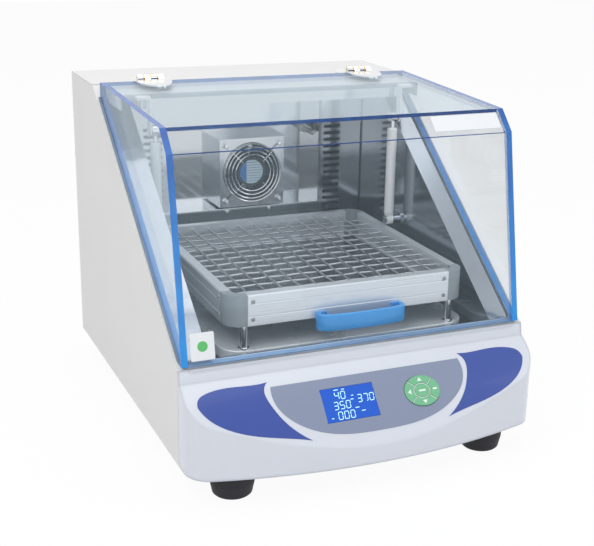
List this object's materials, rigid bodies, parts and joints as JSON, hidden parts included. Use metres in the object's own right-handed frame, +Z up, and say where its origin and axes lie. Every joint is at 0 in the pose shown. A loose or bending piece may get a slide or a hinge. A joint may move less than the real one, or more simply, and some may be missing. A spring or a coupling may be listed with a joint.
{
  "type": "incubator shaker",
  "caption": "Benchtop incubator shaker: heated stainless chamber under a clear hinged hood, with an orbiting spring-rack tray, circulation fan and a sloped front control panel.",
  "frame": {"origin": "on the bench, midway between the sides and midway from the bowed front to the back", "axes": "+X to the user's right, +Y to the back, +Z up"},
  "size_m": [0.46, 0.567, 0.4379],
  "materials": {
    "white_paint": "semi-gloss powder coat",
    "white_plastic": "moulded, satin gloss",
    "zinc_sheet": "zinc plated sheet",
    "stainless": "brushed to polished stainless",
    "clear_acrylic": "clear, blue at the edges",
    "grey_rubber": "soft matte seal",
    "black_rubber": "matte",
    "black_plastic": "matte",
    "probe_plastic": "matte",
    "chrome_wire": "bright",
    "gold_brass": "bright",
    "grey_film": "printed film with blue side fields",
    "display": "lit blue window",
    "motor_metal": "painted",
    "cast_alloy": "cast, satin",
    "machined_steel": "machined",
    "aluminium_sheet": "satin anodised",
    "blue_plastic": "sky blue",
    "green_rubber": "matte keys",
    "mineral_wool": "fibre slab"
  },
  "bodies": {
    "housing": {"base_pan": "zinc_sheet", "side_panel_left": "white_paint", "side_panel_right": "white_paint", "top_cover": "white_paint", "rear_panel": "white_paint", "front_fascia": "white_plastic", "liner_floor": "stainless", "liner_sides": "stainless", "liner_rear": "stainless", "liner_ceiling": "stainless", "rear_baffle": "stainless", "insulation": "mineral_wool", "lid_gasket": "grey_rubber", "fan_box": "stainless", "fan_frame": "black_plastic", "fan_guard": "chrome_wire", "heater_element": "stainless", "temperature_probe": "probe_plastic", "feet": "black_rubber", "hinge_body_leaves": "chrome_wire", "hinge_pins": "gold_brass", "strut_lower_brackets": "stainless", "control_overlay": "grey_film", "display_module": "display", "power_inlet": "black_plastic", "switch_body": "black_plastic", "drive_deck": "zinc_sheet", "drive_motor": "motor_metal", "drive_belt": "black_rubber", "bearing_housings": "cast_alloy"},
    "fan_wheel": {"fan_rotor": "black_plastic"},
    "hood": {"lid_top": "clear_acrylic", "lid_brow": "clear_acrylic", "lid_front": "clear_acrylic", "lid_cheeks": "clear_acrylic", "hinge_lid_leaves": "chrome_wire", "strut_lid_brackets": "white_plastic"},
    "strut_tube_left": {"strut_cylinder_left": "white_paint"},
    "strut_tube_right": {"strut_cylinder_right": "white_paint"},
    "strut_piston_left": {"strut_rod_left": "chrome_wire"},
    "strut_piston_right": {"strut_rod_right": "chrome_wire"},
    "crank": {"drive_crank": "machined_steel", "drive_pulley": "cast_alloy"},
    "motor_shaft": {"motor_pulley": "machined_steel"},
    "idler_left": {"idler_crank_left": "machined_steel"},
    "idler_right": {"idler_crank_right": "machined_steel"},
    "platform": {"platform_plate": "stainless", "tray_posts": "chrome_wire", "tray_base": "aluminium_sheet", "tray_rails": "aluminium_sheet", "tray_corners": "cast_alloy", "tray_springs": "stainless", "tray_handle": "blue_plastic"},
    "up_button": {"key_up": "green_rubber"},
    "down_button": {"key_down": "green_rubber"},
    "left_button": {"key_left": "green_rubber"},
    "right_button": {"key_right": "green_rubber"},
    "centre_button": {"key_centre": "green_rubber"},
    "rocker": {"switch_rocker": "black_plastic"}
  },
  "joints": [
    {"name": "hood_hinge", "type": "hinge", "parent": "housing", "child": "hood", "pos_m": [0, 0.1444, 0.4334], "axis": [-1, 0, 0], "range_deg": [0, 60]},
    {"name": "strut_left_tilt", "type": "hinge", "parent": "housing", "child": "strut_tube_left", "pos_m": [-0.1725, 0.0627, 0.228], "axis": [1, 0, 0], "range_deg": [0, 1.74]},
    {"name": "strut_left_slide", "type": "slide", "parent": "strut_tube_left", "child": "strut_piston_left", "axis": [0, 0, 1], "range_m": [0, 0.0989]},
    {"name": "strut_right_tilt", "type": "hinge", "parent": "housing", "child": "strut_tube_right", "pos_m": [0.1725, 0.0627, 0.228], "axis": [1, 0, 0], "range_deg": [0, 1.74]},
    {"name": "strut_right_slide", "type": "slide", "parent": "strut_tube_right", "child": "strut_piston_right", "axis": [0, 0, 1], "range_m": [0, 0.0989]},
    {"name": "crank_spin", "type": "hinge", "parent": "housing", "child": "crank", "pos_m": [0, 0.0745, 0.137], "axis": [0, 0, 1], "continuous": true},
    {"name": "platform_orbit", "type": "hinge", "parent": "crank", "child": "platform", "pos_m": [0.01, 0.0745, 0.144], "axis": [0, 0, 1], "continuous": true},
    {"name": "idler_left_spin", "type": "hinge", "parent": "housing", "child": "idler_left", "pos_m": [-0.11, -0.0655, 0.137], "axis": [0, 0, 1], "continuous": true},
    {"name": "idler_right_spin", "type": "hinge", "parent": "housing", "child": "idler_right", "pos_m": [0.11, -0.0655, 0.137], "axis": [0, 0, 1], "continuous": true},
    {"name": "motor_spin", "type": "hinge", "parent": "housing", "child": "motor_shaft", "pos_m": [0, -0.0455, 0.11], "axis": [0, 0, 1], "continuous": true},
    {"name": "fan_spin", "type": "hinge", "parent": "housing", "child": "fan_wheel", "pos_m": [0.009, 0.2, 0.2815], "axis": [0, 1, 0], "continuous": true},
    {"name": "power_rocker", "type": "hinge", "parent": "housing", "child": "rocker", "pos_m": [0.2231, -0.23529, 0.0625], "axis": [0.3681, 0.9298, 0], "range_deg": [-8, 8]},
    {"name": "key_up_press", "type": "slide", "parent": "housing", "child": "up_button", "axis": [0, 0.7436, -0.6686], "range_m": [0, 0.0005], "stiffness_N_per_m": 400},
    {"name": "key_down_press", "type": "slide", "parent": "housing", "child": "down_button", "axis": [0, 0.7436, -0.6686], "range_m": [0, 0.0005], "stiffness_N_per_m": 400},
    {"name": "key_left_press", "type": "slide", "parent": "housing", "child": "left_button", "axis": [0, 0.7436, -0.6686], "range_m": [0, 0.0005], "stiffness_N_per_m": 400},
    {"name": "key_right_press", "type": "slide", "parent": "housing", "child": "right_button", "axis": [0, 0.7436, -0.6686], "range_m": [0, 0.0005], "stiffness_N_per_m": 400},
    {"name": "key_centre_press", "type": "slide", "parent": "housing", "child": "centre_button", "axis": [0, 0.7436, -0.6686], "range_m": [0, 0.0005], "stiffness_N_per_m": 400}
  ],
  "couplings": [
    {"joint": "strut_left_tilt", "follows": "hood_hinge", "ratio": 0.027388},
    {"joint": "strut_left_slide", "follows": "hood_hinge", "m_per_rad": 0.094115},
    {"joint": "strut_right_tilt", "follows": "hood_hinge", "ratio": 0.027388},
    {"joint": "strut_right_slide", "follows": "hood_hinge", "m_per_rad": 0.094115},
    {"joint": "platform_orbit", "follows": "crank_spin", "ratio": -1},
    {"joint": "idler_left_spin", "follows": "crank_spin", "ratio": 1},
    {"joint": "idler_right_spin", "follows": "crank_spin", "ratio": 1},
    {"joint": "motor_spin", "follows": "crank_spin", "ratio": 3}
  ]
}
